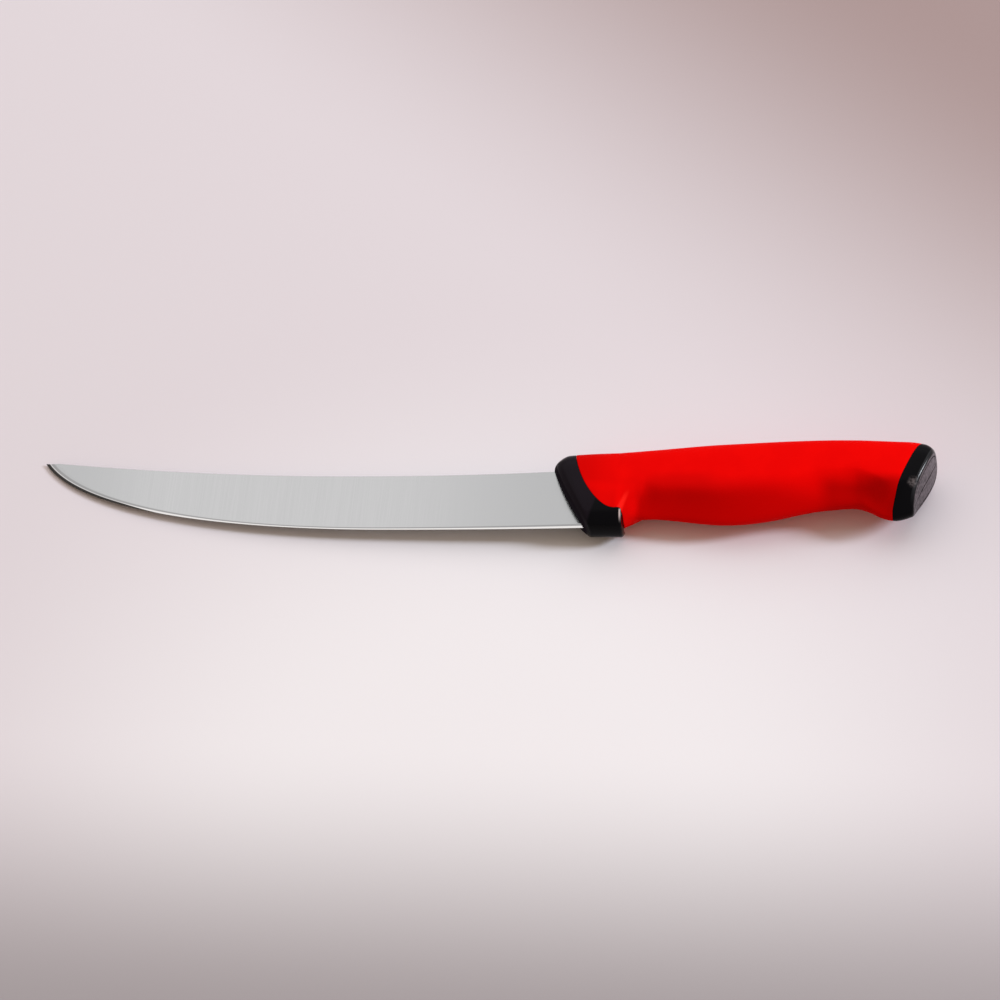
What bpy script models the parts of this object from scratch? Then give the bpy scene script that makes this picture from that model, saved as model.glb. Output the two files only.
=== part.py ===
"""Steak knife: a curved steel blade in a handle moulded from a hard core and a soft grip.

The knife has a frame of its own: X runs from the tip to the butt with zero at the guard's nose, Y from
the cutting edge to the spine with zero at the blade's spine, and Z through the thickness with zero in
the middle. It is then laid on its side, the way it lies when it is put down: the tip and the widest
part of the handle touch the table.
"""
import math

import bmesh
import bpy
import numpy as np
from mathutils import Matrix, Vector

# Gap between pieces that touch, because the moulded plastic follows the steel and the core closely
SEAM = 0.0003

# Blade, side view: the spine dips and sweeps up to the tip, the edge is straight and then bellied
BLADE_REACH = 0.1886
TIP_RISE = 0.0045
SPINE_DIP = 0.0019
SPINE_DIP_AT = 0.075
HEEL_AT = 0.0165
HEEL_DEPTH = 0.0245
EDGE_DEPTH = 0.0255
EDGE_DEPTH_AT = 0.060
BELLY_PULL = 0.056
TIP_PULL = 0.027
TIP_ANGLE = math.radians(56)

# Blade, thickness: flat ground sides that thin towards the edge and a little towards the tip
STOCK = 0.0025
EDGE_TAPER = 0.033
TIP_TAPER = 0.0018
EDGE_WIDTH = 0.0001
BEVEL_ANGLE = math.radians(15)
BEVEL_LIMIT = 0.75
SPINE_EASE = 0.0002
SPINE_EASE_LIMIT = 0.1

# Tang: a parallel strip inside the handle, held by plastic in its holes
TANG_START = 0.0125
TANG_LENGTH = 0.085
TANG_TOP = -0.0025
TANG_FRONT_HEIGHT = 0.0125
TANG_END_TOP = 0.001
TANG_END_HEIGHT = 0.0085
TANG_HOLE_RADIUS = 0.0026
TANG_HOLES_AT = (0.036, 0.059, 0.082)

# Handle, side view: places along X, then the height of its back and the depth of its belly there
HANDLE_LENGTH = 0.1378
NOSE_RUN = 0.006
LIP_AT = 0.0240
LIP_END = 0.0266
FILLET_END = 0.0315
WAIST_AT = 0.035
WAIST_LOW_AT = 0.038
BELLY_AT = 0.0625
HOLLOW_AT = 0.105
HOLLOW_LOW_AT = 0.1085
CAP_AT = 0.127
GUARD_TOP = 0.0052
WAIST_TOP = 0.0068
BELLY_TOP = 0.0091
HOLLOW_TOP = 0.0105
CAP_TOP = 0.0102
BUTT_TOP = 0.0057
LIP_NOSE_DEPTH = 0.0236
LIP_NOSE_RUN = 0.004
LIP_DEPTH = 0.0258
FILLET_DEPTH = 0.0223
FILLET_END_DEPTH = 0.0206
WAIST_DEPTH = 0.0207
BELLY_DEPTH = 0.0230
HOLLOW_DEPTH = 0.0160
CAP_DEPTH = 0.0208
BUTT_DEPTH = 0.0183

# Handle, half thickness at the same places
NOSE_HALF = 0.0044
GUARD_HALF = 0.0084
LIP_HALF = 0.0087
WAIST_HALF = 0.0094
BELLY_HALF = 0.0107
SWELL_HALF = 0.0111
SWELL_AT = 0.085
CAP_HALF = 0.0103
BUTT_HALF = 0.0094

# Handle, section: squarer than an ellipse at its back and at the guard, widest a little above its middle
BACK_ROUNDING = 2.8
GUARD_ROUNDING = 3.0
BELLY_ROUNDING = 2.8
WIDEST_SHARE = 0.38
LIP_STEP = 0.0008

# Cheeks, the sloped lower sides: half width gained per height, radius along the bottom, sharpness of the
# shoulder above and depth of the finger hollow, at places along the handle
FRONT_HOLLOW_AT = 0.044
FRONT_HOLLOW_END = 0.060
SWELL_LOW_AT = 0.080
SWELL_END_AT = 0.093
REAR_HOLLOW_AT = 0.104
REAR_HOLLOW_END = 0.112
CAP_FRONT_AT = 0.121
LIP_CHEEK = (0.60, 0.0140, 6.0, 0.0)
FILLET_CHEEK = (0.80, 0.0036, 7.0, 0.0001)
WAIST_CHEEK = (1.22, 0.0016, 8.0, 0.0006)
FRONT_CHEEK = (1.25, 0.0012, 9.0, 0.0010)
FRONT_END_CHEEK = (1.14, 0.0013, 8.0, 0.0008)
SWELL_CHEEK = (0.98, 0.0025, 7.0, 0.0002)
SWELL_END_CHEEK = (1.00, 0.0022, 7.0, 0.0002)
REAR_CHEEK = (1.50, 0.0012, 8.0, 0.0012)
CAP_FRONT_CHEEK = (1.12, 0.0012, 8.0, 0.0008)
CAP_CHEEK = (0.80, 0.0030, 7.0, 0.0002)
BUTT_CHEEK = (0.30, 0.0030, 6.0, 0.0)
CHEEK_HEIGHT = 0.0085
CHEEK_LEAN = 0.0030
CHEEK_LEAN_HEIGHT = 0.008
CHEEK_FADE = 0.002

# Guard's front face, seen from the side: it leans back from the nose to the heel
FRONT_LEAN = 0.0123
FRONT_STRAIGHT = 0.72
NOSE_ROUND = 0.006

# Butt end face, seen from the side: a slow S that is furthest back at the top
BUTT_LEAN = 0.0074
BUTT_LEAN_TOP = 0.010
BUTT_LEAN_BOTTOM = -0.018
BUTT_ROUND = 0.0012
BUTT_BLEND_AT = 0.110

# Where the soft grip meets the guard and the butt cap, seen from the side
GUARD_BAND = 0.0077
GUARD_BAND_STRAIGHT = 0.0062
LIP_TOP_DEPTH = 0.0208
LIP_TOP_START = 0.0235
LIP_TOP_PULL = 0.006
LIP_CORNER = 0.0012
CAP_BAND_AT = 0.1229
CAP_BAND_DEPTH = 0.0195
CAP_BAND_LEAN = 0.0103
CAP_BAND_POWER = 1.24
BLOCK_MARGIN = 0.004

# Hidden core under the grip, with grooves that lock the grip to it
GRIP_WALL = 0.0034
CORE_START = 0.004
CORE_END = 0.1325
GROOVE_DEPTH = 0.0011
GROOVE_WIDTH = 0.006
GROOVES_AT = (0.046, 0.070, 0.094)

# Facets and rings
AROUND = 48
CORE_AROUND = 32
STRAIGHT_FACETS = 13
BELLY_FACETS = 52
HOLE_FACETS = 24
TANG_END_FACETS = 12
NOSE_RINGS = 6
GUARD_RINGS = 6
LIP_RINGS = 8
BODY_RINGS = 27
RIM_RINGS = 6
CORE_RINGS = 22
BAND_FACETS = 20
CORNER_FACETS = 5

PLASTIC_BLACK = (0.012, 0.010, 0.013)
PLASTIC_ROUGHNESS = 0.42
RUBBER_RED = (0.80, 0.004, 0.002)
RUBBER_ROUGHNESS = 0.5
STEEL = (0.52, 0.52, 0.53)
STEEL_ROUGHNESS = 0.32
SHARP_EDGE = math.radians(35)
LAY_DOWN_STEPS = 5


def end_slope(step, chord):
    """Slope at an end station: that of the parabola through three stations, kept from overshooting."""
    slope = ((2 * step[0] + step[1]) * chord[0] - step[0] * chord[1]) / (step[0] + step[1])
    if slope * chord[0] <= 0:
        return 0.0
    if chord[0] * chord[1] < 0:
        return math.copysign(min(abs(slope), 3 * abs(chord[0])), slope)
    return slope


def smooth_curve(x, stations):
    """A curve through three or more (place, value) stations that never overshoots them.

    Its pieces are cubic. The slope at a station is the weighted harmonic mean of the slopes of the two
    chords that meet there, and zero where the curve turns back.
    """
    at, value = np.array(sorted(stations), float).T
    step = np.diff(at)
    chord = np.diff(value) / step
    slope = np.zeros(len(at))
    slope[0] = end_slope(step[:2], chord[:2])
    slope[-1] = end_slope(step[:-3:-1], chord[:-3:-1])
    for i in range(1, len(at) - 1):
        if chord[i - 1] * chord[i] > 0:
            before, after = step[i - 1] + 2 * step[i], 2 * step[i - 1] + step[i]
            slope[i] = (before + after) / (before / chord[i - 1] + after / chord[i])
    k = np.clip(np.searchsorted(at, x, side="right") - 1, 0, len(step) - 1)
    t = np.clip((x - at[k]) / step[k], 0, 1)
    blend = value[k] * (1 + 2 * t) * (1 - t) ** 2 + value[k + 1] * t * t * (3 - 2 * t)
    return blend + step[k] * t * (1 - t) * (slope[k] * (1 - t) - slope[k + 1] * t)


def bezier(points, steps):
    """Points of the cubic curve with four control points, at even steps of its parameter."""
    p0, p1, p2, p3 = np.array(points, float)
    t = np.linspace(0, 1, steps + 1)[:, None]
    return (1 - t) ** 3 * p0 + 3 * (1 - t) ** 2 * t * p1 + 3 * (1 - t) * t * t * p2 + t ** 3 * p3


def arc(centre, radius, start, end, steps):
    """Points on an arc at even steps, its angles in degrees."""
    turn = np.radians(np.linspace(start, end, steps + 1))
    return np.array(centre) + radius * np.stack([np.cos(turn), np.sin(turn)], axis=1)


def mesh_object(name, points, faces, collection, colour=None, roughness=0.5, metallic=0.0):
    """An object from points and faces, with its own material when it has a colour."""
    mesh = bpy.data.meshes.new(name)
    mesh.from_pydata([tuple(p) for p in points], [], [tuple(f) for f in faces])
    faces_out(mesh)
    thing = bpy.data.objects.new(name, mesh)
    collection.objects.link(thing)
    if colour is not None:
        material = bpy.data.materials.new(name)
        material.use_nodes = True
        shader = material.node_tree.nodes["Principled BSDF"]
        shader.inputs["Base Color"].default_value = (*colour, 1.0)
        shader.inputs["Roughness"].default_value = roughness
        shader.inputs["Metallic"].default_value = metallic
        mesh.materials.append(material)
    return thing


def faces_out(mesh):
    """Turns all faces of a closed mesh outward."""
    shape = bmesh.new()
    shape.from_mesh(mesh)
    bmesh.ops.recalc_face_normals(shape, faces=shape.faces)
    shape.to_mesh(mesh)
    shape.free()


def loft(rings):
    """Points and faces of a closed skin over rings that mirror in Z.

    Each ring starts beside the back's middle line and goes round to its other side. The end rings are
    closed by strips between each point and its mirror, so an end may be curved when seen from the side.
    """
    count, around = rings.shape[:2]
    faces = []
    for i in range(count - 1):
        for j in range(around):
            k = (j + 1) % around
            faces.append((i * around + j, i * around + k, (i + 1) * around + k, (i + 1) * around + j))
    for base in (0, (count - 1) * around):
        for j in range(around // 2 - 1):
            faces.append([base + p for p in (j, j + 1, around - 2 - j, around - 1 - j)])
    return rings.reshape(-1, 3), faces


def prism(name, outline, half, collection):
    """A side-view outline drawn out through the thickness, the same way to both sides."""
    shape = bmesh.new()
    base = shape.faces.new([shape.verts.new((x, y, -half)) for x, y in outline])
    moved = bmesh.ops.extrude_face_region(shape, geom=[base])["geom"]
    moved = [v for v in moved if isinstance(v, bmesh.types.BMVert)]
    bmesh.ops.translate(shape, verts=moved, vec=(0, 0, 2 * half))
    bmesh.ops.recalc_face_normals(shape, faces=shape.faces)
    mesh = bpy.data.meshes.new(name)
    shape.to_mesh(mesh)
    shape.free()
    thing = bpy.data.objects.new(name, mesh)
    collection.objects.link(thing)
    return thing


def combine(target, tool, operation):
    """Adds an exact Boolean with the tool and keeps the tool out of the picture."""
    modifier = target.modifiers.new(f"{operation.lower()} {tool.name}", "BOOLEAN")
    modifier.operation = operation
    modifier.solver = "EXACT"
    modifier.object = tool
    tool.hide_render = True
    tool.display_type = "WIRE"


def spine_line(x):
    """Height of the blade's spine."""
    return smooth_curve(x, ((0.0, 0.0), (-SPINE_DIP_AT, -SPINE_DIP), (-BLADE_REACH, TIP_RISE)))


def edge_line():
    """Points of the cutting edge from the heel to the tip: a long shallow curve and then the belly."""
    x = np.linspace(HEEL_AT, -EDGE_DEPTH_AT, STRAIGHT_FACETS, endpoint=False)
    share = (x + EDGE_DEPTH_AT) / (HEEL_AT + EDGE_DEPTH_AT)
    depth = -EDGE_DEPTH + (EDGE_DEPTH - HEEL_DEPTH) * share * share
    tip = np.array((-BLADE_REACH, TIP_RISE))
    pull = TIP_PULL * np.array((math.cos(TIP_ANGLE), -math.sin(TIP_ANGLE)))
    start = np.array((-EDGE_DEPTH_AT, -EDGE_DEPTH))
    belly = bezier((start, start - (BELLY_PULL, 0), tip + pull, tip), BELLY_FACETS)
    return np.concatenate([np.stack([x, depth], axis=1), belly])


def ground_half(x, y):
    """Half thickness of the ground blade, the same flat plane all over each side."""
    return STOCK / 2 + EDGE_TAPER * y + TIP_TAPER * np.minimum(x, 0.0)


def blade_rings(grow):
    """Sections of the blade from heel to tip, each from the spine round the edge and back.

    A section is the spine's eased corners, the ground side down to the bevel, and the edge. The bevel
    starts where the ground side is as thick as the bevel, and runs out over the spine at the tip.
    """
    edge = edge_line()
    along = np.gradient(edge, axis=0)
    lean = np.abs(along[:, 0]) / np.hypot(along[:, 0], along[:, 1])
    x, low = edge.T
    high = np.maximum(spine_line(x), low)
    side_at_edge = ground_half(x, low)
    steep = math.tan(BEVEL_ANGLE) * lean
    width = np.minimum((side_at_edge - EDGE_WIDTH / 2) / (steep - EDGE_TAPER), BEVEL_LIMIT * (high - low))
    bevel = low + width
    bevel_half = EDGE_WIDTH / 2 + steep * width
    ease = np.minimum(SPINE_EASE, SPINE_EASE_LIMIT * (high - low))
    shoulder = high - ease
    shoulder_half = np.minimum(ground_half(x, shoulder), EDGE_WIDTH / 2 + steep * (shoulder - low))
    top_half = np.maximum(shoulder_half - ease, EDGE_WIDTH / 2)
    heights = np.stack([high + grow, shoulder + grow, bevel, low - grow], axis=1)
    halves = np.stack([top_half, shoulder_half, bevel_half, np.full_like(x, EDGE_WIDTH / 2)], axis=1) + grow
    heights = np.concatenate([heights, heights[:, ::-1]], axis=1)
    halves = np.concatenate([halves, -halves[:, ::-1]], axis=1)
    places = np.repeat(x[:, None], heights.shape[1], axis=1)
    places[0] += grow
    return np.stack([places, heights, halves], axis=2)


def tang_outline(grow):
    """The tang from the side: a strip that narrows to a half-round end."""
    end = TANG_START + TANG_LENGTH
    radius = TANG_END_HEIGHT / 2 + grow
    centre = (end - TANG_END_HEIGHT / 2, TANG_END_TOP - TANG_END_HEIGHT / 2)
    front = TANG_START - grow
    corners = ((front, TANG_TOP - TANG_FRONT_HEIGHT - grow), (front, TANG_TOP + grow))
    return np.concatenate([arc(centre, radius, 90, -90, TANG_END_FACETS), corners])


def blade_blank(name, grow, collection, tools, **look):
    """The blade with its tang. Grown by a clearance, it is the slot that the core is moulded with."""
    points, faces = loft(blade_rings(grow))
    blank = mesh_object(name, points, faces, collection, **look)
    half = STOCK / 2 + grow
    combine(blank, prism(f"{name}_tang", tang_outline(grow), half, tools), "UNION")
    for number, x in enumerate(TANG_HOLES_AT, start=1):
        share = (x - TANG_START) / TANG_LENGTH
        top = TANG_TOP + share * (TANG_END_TOP - TANG_TOP)
        height = TANG_FRONT_HEIGHT + share * (TANG_END_HEIGHT - TANG_FRONT_HEIGHT)
        ring = arc((x, top - height / 2), TANG_HOLE_RADIUS - grow, 0, 360, HOLE_FACETS)[:-1]
        combine(blank, prism(f"{name}_hole_{number}", ring, 2 * half, tools), "DIFFERENCE")
    return blank


def front_face(y):
    """How far the guard's front face lies behind the nose, at a height."""
    share = np.maximum(-y, 0.0) / HEEL_DEPTH
    return FRONT_LEAN * (FRONT_STRAIGHT * share + (1 - FRONT_STRAIGHT) * share * share)


def butt_face(y):
    """Where the butt's end face lies, at a height."""
    share = np.clip((BUTT_LEAN_TOP - y) / (BUTT_LEAN_TOP - BUTT_LEAN_BOTTOM), 0, 1)
    return HANDLE_LENGTH - BUTT_LEAN * share * share * (3 - 2 * share)


def handle_sizes(s, lip):
    """Height of the back, depth of the belly and half thickness of the handle along it."""
    top = smooth_curve(s, (
        (0.0, 0.0), (NOSE_RUN, GUARD_TOP), (WAIST_AT, WAIST_TOP), (BELLY_AT, BELLY_TOP),
        (HOLLOW_AT, HOLLOW_TOP), (CAP_AT, CAP_TOP), (HANDLE_LENGTH, BUTT_TOP)))
    behind_guard = ((LIP_END, LIP_DEPTH),) if lip else (
        (LIP_AT, LIP_DEPTH), (LIP_END, FILLET_DEPTH), (FILLET_END, FILLET_END_DEPTH))
    depth = smooth_curve(s, (
        (0.0, LIP_NOSE_DEPTH), (LIP_NOSE_RUN, LIP_DEPTH), *behind_guard, (WAIST_LOW_AT, WAIST_DEPTH),
        (BELLY_AT, BELLY_DEPTH), (HOLLOW_LOW_AT, HOLLOW_DEPTH), (CAP_AT, CAP_DEPTH),
        (HANDLE_LENGTH, BUTT_DEPTH)))
    half = smooth_curve(s, (
        (NOSE_RUN, GUARD_HALF), (LIP_END, LIP_HALF), (WAIST_AT, WAIST_HALF), (BELLY_AT, BELLY_HALF),
        (SWELL_AT, SWELL_HALF), (CAP_AT, CAP_HALF), (HANDLE_LENGTH, BUTT_HALF)))
    ahead = np.clip(1 - s / NOSE_ROUND, 0, 1)
    half -= (GUARD_HALF - NOSE_HALF) * (1 - np.sqrt(1 - ahead * ahead))
    return top, depth + np.where(s < BELLY_AT, lip, 0.0), half


def superellipse(s, around):
    """Height and width shares round sections along the handle, each squarer above than below."""
    turn = 2 * np.pi * (np.arange(around) + 0.5) / around
    up, out = np.cos(turn), np.sin(turn)
    below = smooth_curve(s, (
        (0.0, GUARD_ROUNDING), (LIP_END, GUARD_ROUNDING), (FRONT_HOLLOW_AT, BELLY_ROUNDING),
        (HANDLE_LENGTH, BELLY_ROUNDING)))
    power = np.where(up > 0, 2 / BACK_ROUNDING, 2 / below[:, None])
    return np.sign(up) * np.abs(up) ** power, np.sign(out) * np.abs(out) ** power


def cheek_limit(s, y, above, inset):
    """Greatest half width on the cheeks, by height above the bottom, and how sharp their shoulder is.

    An inset moves the bottom up. The rest of what it takes on a slope comes off the width.
    """
    lean = np.clip((y + LIP_TOP_DEPTH) / CHEEK_LEAN_HEIGHT, 0, 1)
    at = s - CHEEK_LEAN * lean * lean * (3 - 2 * lean)
    stations = (
        (0.0, LIP_CHEEK), (LIP_END, LIP_CHEEK), (FILLET_END, FILLET_CHEEK), (WAIST_LOW_AT, WAIST_CHEEK),
        (FRONT_HOLLOW_AT, FRONT_CHEEK), (FRONT_HOLLOW_END, FRONT_END_CHEEK), (SWELL_LOW_AT, SWELL_CHEEK),
        (SWELL_END_AT, SWELL_END_CHEEK), (REAR_HOLLOW_AT, REAR_CHEEK), (REAR_HOLLOW_END, REAR_CHEEK),
        (CAP_FRONT_AT, CAP_FRONT_CHEEK), (CAP_AT, CAP_CHEEK), (HANDLE_LENGTH, BUTT_CHEEK))
    slope, radius, sharpness, hollow = (
        smooth_curve(at, [(place, cheek[k]) for place, cheek in stations]) for k in range(4))
    limit = np.sqrt((slope * above) ** 2 + 2 * radius * above)
    limit -= hollow * np.sin(np.pi * np.clip(above / CHEEK_HEIGHT, 0, 1))
    limit -= inset * (np.hypot(1, slope) - slope) * above / (above + CHEEK_FADE)
    return limit, sharpness


def handle_rings(s, around, inset=0.0, lip=0.0):
    """Rings of the handle's skin at places along it, drawn in by an inset where that is given.

    The cheeks draw a ring's lower sides in below a soft shoulder. Near the ends the rings lean until
    they lie in the guard's front face and in the butt's end face, where they shrink over a rounded rim.
    """
    top, depth, half = handle_sizes(s, lip)
    rim = np.clip(1 - (HANDLE_LENGTH - s) / BUTT_ROUND, 0, 1)
    inset = inset + BUTT_ROUND * (1 - np.sqrt(1 - rim * rim))
    top, depth, half = top - inset, depth - inset, half - inset
    widest = top - WIDEST_SHARE * (top + depth)
    up, out = superellipse(s, around)
    reach = np.where(up > 0, (top - widest)[:, None], (widest + depth)[:, None])
    y = widest[:, None] + reach * up
    x = np.repeat(s[:, None], around, axis=1)
    z = half[:, None] * out
    limit, sharpness = cheek_limit(x, y, y + depth[:, None], inset[:, None])
    z = z / (1 + np.abs(z / limit) ** sharpness) ** (1 / sharpness)
    x += front_face(y) * np.clip(1 - x / LIP_AT, 0, 1)
    share = np.clip((s - BUTT_BLEND_AT) / (HANDLE_LENGTH - BUTT_BLEND_AT), 0, 1)[:, None]
    x += (butt_face(y) - HANDLE_LENGTH) * share
    return np.stack([x, y, z], axis=2)


def skin_places():
    """Places of the skin's rings: close together at the rounded nose, the lip and the butt's rim."""
    nose = NOSE_ROUND * (1 - np.cos(np.linspace(0, math.pi / 2, NOSE_RINGS + 1)))
    guard = np.linspace(NOSE_ROUND, LIP_AT, GUARD_RINGS + 1)
    lip = np.linspace(LIP_AT, WAIST_AT, LIP_RINGS + 1)
    body = np.linspace(WAIST_AT, HANDLE_LENGTH - BUTT_ROUND, BODY_RINGS + 1)
    rim = HANDLE_LENGTH - BUTT_ROUND * (1 - np.sin(np.linspace(0, math.pi / 2, RIM_RINGS + 1)))
    return np.concatenate([nose, guard[1:], lip[1:], body[1:], rim[1:]])


def grip_zone(name, gap, tools):
    """A block that holds all of the grip and nothing of the guard and the cap, wider by a gap."""
    back, belly = HOLLOW_TOP + BLOCK_MARGIN, -LIP_DEPTH - BLOCK_MARGIN
    band, lip_top = GUARD_BAND - gap, -LIP_TOP_DEPTH - gap
    lip_start, lip_rear = LIP_TOP_START - gap, LIP_END - gap
    guard_line = bezier((
        (band, BELLY_TOP), (band, -GUARD_BAND_STRAIGHT - gap), (lip_start - LIP_TOP_PULL, lip_top),
        (lip_start, lip_top)), BAND_FACETS)
    corner = arc((lip_rear - LIP_CORNER, lip_top - LIP_CORNER), LIP_CORNER, 90, 0, CORNER_FACETS)
    y = np.linspace(-CAP_BAND_DEPTH, back, BAND_FACETS)
    share = (y + CAP_BAND_DEPTH) / (HOLLOW_TOP + CAP_BAND_DEPTH)
    cap_line = np.stack([CAP_BAND_AT + gap + CAP_BAND_LEAN * share ** CAP_BAND_POWER, y], axis=1)
    ends_below = ((lip_rear, belly), (CAP_BAND_AT + gap, belly))
    outline = np.concatenate([[(band, back)], guard_line, corner, ends_below, cap_line])
    return prism(name, outline, 2 * SWELL_HALF, tools)


def core_rod(name, grow, tools):
    """The core under the grip: the skin drawn in by the grip's wall, with grooves across it."""
    places = np.linspace(CORE_START, CORE_END, CORE_RINGS + 1)
    floors = np.zeros_like(places, dtype=bool)
    for x in GROOVES_AT:
        flat = GROOVE_WIDTH / 2 - grow
        clear = np.abs(places - x) > flat + 2 * GROOVE_DEPTH
        ends = (x - flat - GROOVE_DEPTH, x - flat, x + flat, x + flat + GROOVE_DEPTH)
        places = np.concatenate([places[clear], ends])
        floors = np.concatenate([floors[clear], (False, True, True, False)])
    order = np.argsort(places)
    inset = GRIP_WALL - grow + np.where(floors[order], GROOVE_DEPTH, 0.0)
    points, faces = loft(handle_rings(places[order], CORE_AROUND, inset=inset))
    return mesh_object(name, points, faces, tools)


def make_core(parts, tools):
    """Guard, hidden core and butt cap as one moulding, with the slot for the blade and its tang."""
    points, faces = loft(handle_rings(skin_places(), AROUND, lip=LIP_STEP))
    core = mesh_object("handle_core", points, faces, parts, PLASTIC_BLACK, PLASTIC_ROUGHNESS)
    combine(core, grip_zone("grip_gap", SEAM, tools), "DIFFERENCE")
    combine(core, core_rod("core_rod", 0.0, tools), "UNION")
    combine(core, blade_blank("blade_slot", SEAM, tools, tools), "DIFFERENCE")
    return core


def make_grip(parts, tools):
    """The soft sleeve: the skin between the guard's and the cap's lines, bored for the core."""
    points, faces = loft(handle_rings(skin_places(), AROUND))
    grip = mesh_object("grip", points, faces, parts, RUBBER_RED, RUBBER_ROUGHNESS)
    combine(grip, grip_zone("grip_zone", 0.0, tools), "INTERSECT")
    combine(grip, core_rod("grip_bore", SEAM, tools), "DIFFERENCE")
    return grip


def lay_down(root, pieces):
    """Tilts the knife until its tip and its handle touch the table, with its box's middle over zero."""
    bpy.context.view_layer.update()
    graph = bpy.context.evaluated_depsgraph_get()
    points = np.concatenate([
        [tuple(v.co) for v in piece.evaluated_get(graph).to_mesh().vertices] for piece in pieces])
    ahead, behind = points[points[:, 0] < 0], points[points[:, 0] > 0]
    slope = 0.0
    for _ in range(LAY_DOWN_STEPS):
        front = ahead[np.argmin(ahead[:, 2] - slope * ahead[:, 0])]
        slope = ((behind[:, 2] - front[2]) / (behind[:, 0] - front[0])).min()
    turn = Matrix.Rotation(math.atan(slope), 4, "Y")
    placed = points @ np.array(turn.to_3x3()).T
    low, high = placed.min(axis=0), placed.max(axis=0)
    middle = (low + high) / 2
    root.matrix_world = Matrix.Translation(Vector((-middle[0], -middle[1], -low[2]))) @ turn


def main():
    for thing in list(bpy.data.objects):
        bpy.data.objects.remove(thing, do_unlink=True)
    parts = bpy.data.collections.new("Steak knife")
    tools = bpy.data.collections.new("Cutters")
    for collection in (parts, tools):
        bpy.context.scene.collection.children.link(collection)
    root = bpy.data.objects.new("knife", None)
    parts.objects.link(root)
    blade = blade_blank("blade", 0.0, parts, tools, colour=STEEL, roughness=STEEL_ROUGHNESS, metallic=1.0)
    core = make_core(parts, tools)
    grip = make_grip(parts, tools)
    pieces = (blade, core, grip)
    lay_down(root, pieces)
    for thing in (*pieces, *tools.objects):
        thing.parent = root
    for thing in (core, grip):
        thing.data.shade_smooth()
        thing.data.set_sharp_from_angle(angle=SHARP_EDGE)


if __name__ == "__main__":
    main()
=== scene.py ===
"""Steak knife with a curved steel blade and a two-colour moulded handle, laid on a pale table top."""
import math

import bmesh
import bpy
import numpy as np
from mathutils import Matrix, Vector


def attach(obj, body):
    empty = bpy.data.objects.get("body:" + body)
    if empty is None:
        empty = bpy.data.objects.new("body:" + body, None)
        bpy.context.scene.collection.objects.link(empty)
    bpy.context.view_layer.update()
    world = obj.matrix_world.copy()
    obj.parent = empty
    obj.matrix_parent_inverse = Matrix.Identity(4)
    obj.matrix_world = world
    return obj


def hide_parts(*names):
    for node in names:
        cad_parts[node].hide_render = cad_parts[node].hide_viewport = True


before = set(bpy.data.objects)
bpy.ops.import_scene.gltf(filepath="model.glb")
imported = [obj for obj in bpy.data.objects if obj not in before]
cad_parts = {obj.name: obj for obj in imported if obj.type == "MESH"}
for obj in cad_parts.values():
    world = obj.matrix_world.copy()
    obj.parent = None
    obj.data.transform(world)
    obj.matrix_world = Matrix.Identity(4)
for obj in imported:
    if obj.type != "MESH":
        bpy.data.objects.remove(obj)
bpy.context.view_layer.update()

# The camera looks down on the knife's side from the edge's side and a little from the butt, from far off
# with a long lens, and is rolled so that the knife lies level in the picture.
VIEW_AZIMUTH = math.radians(12.0)
VIEW_ELEVATION = math.radians(52.0)
VIEW_ROLL = math.radians(-8.1191)
VIEW_AIM = Vector((0.00629, -0.00144, 0.00417))
VIEW_DISTANCE = 2.0
VIEW_LENS = 200.0
VIEW_SENSOR = 36.0
back = Vector((
    math.sin(VIEW_AZIMUTH) * math.cos(VIEW_ELEVATION), -math.cos(VIEW_AZIMUTH) * math.cos(VIEW_ELEVATION),
    math.sin(VIEW_ELEVATION)))
level = Vector((math.cos(VIEW_AZIMUTH), math.sin(VIEW_AZIMUTH), 0.0))
upright = back.cross(level)
right = math.cos(VIEW_ROLL) * level + math.sin(VIEW_ROLL) * upright
up = math.cos(VIEW_ROLL) * upright - math.sin(VIEW_ROLL) * level
camera = bpy.data.objects.new("camera", bpy.data.cameras.new("camera"))
camera.data.lens = VIEW_LENS
camera.data.sensor_width = VIEW_SENSOR
camera.data.clip_start = 0.01
turned = Matrix((right, up, back)).transposed().to_4x4()
camera.matrix_world = Matrix.Translation(VIEW_AIM + VIEW_DISTANCE * back) @ turned
bpy.context.scene.collection.objects.link(camera)
bpy.context.scene.camera = camera
bpy.context.scene.view_settings.view_transform = "Standard"


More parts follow.
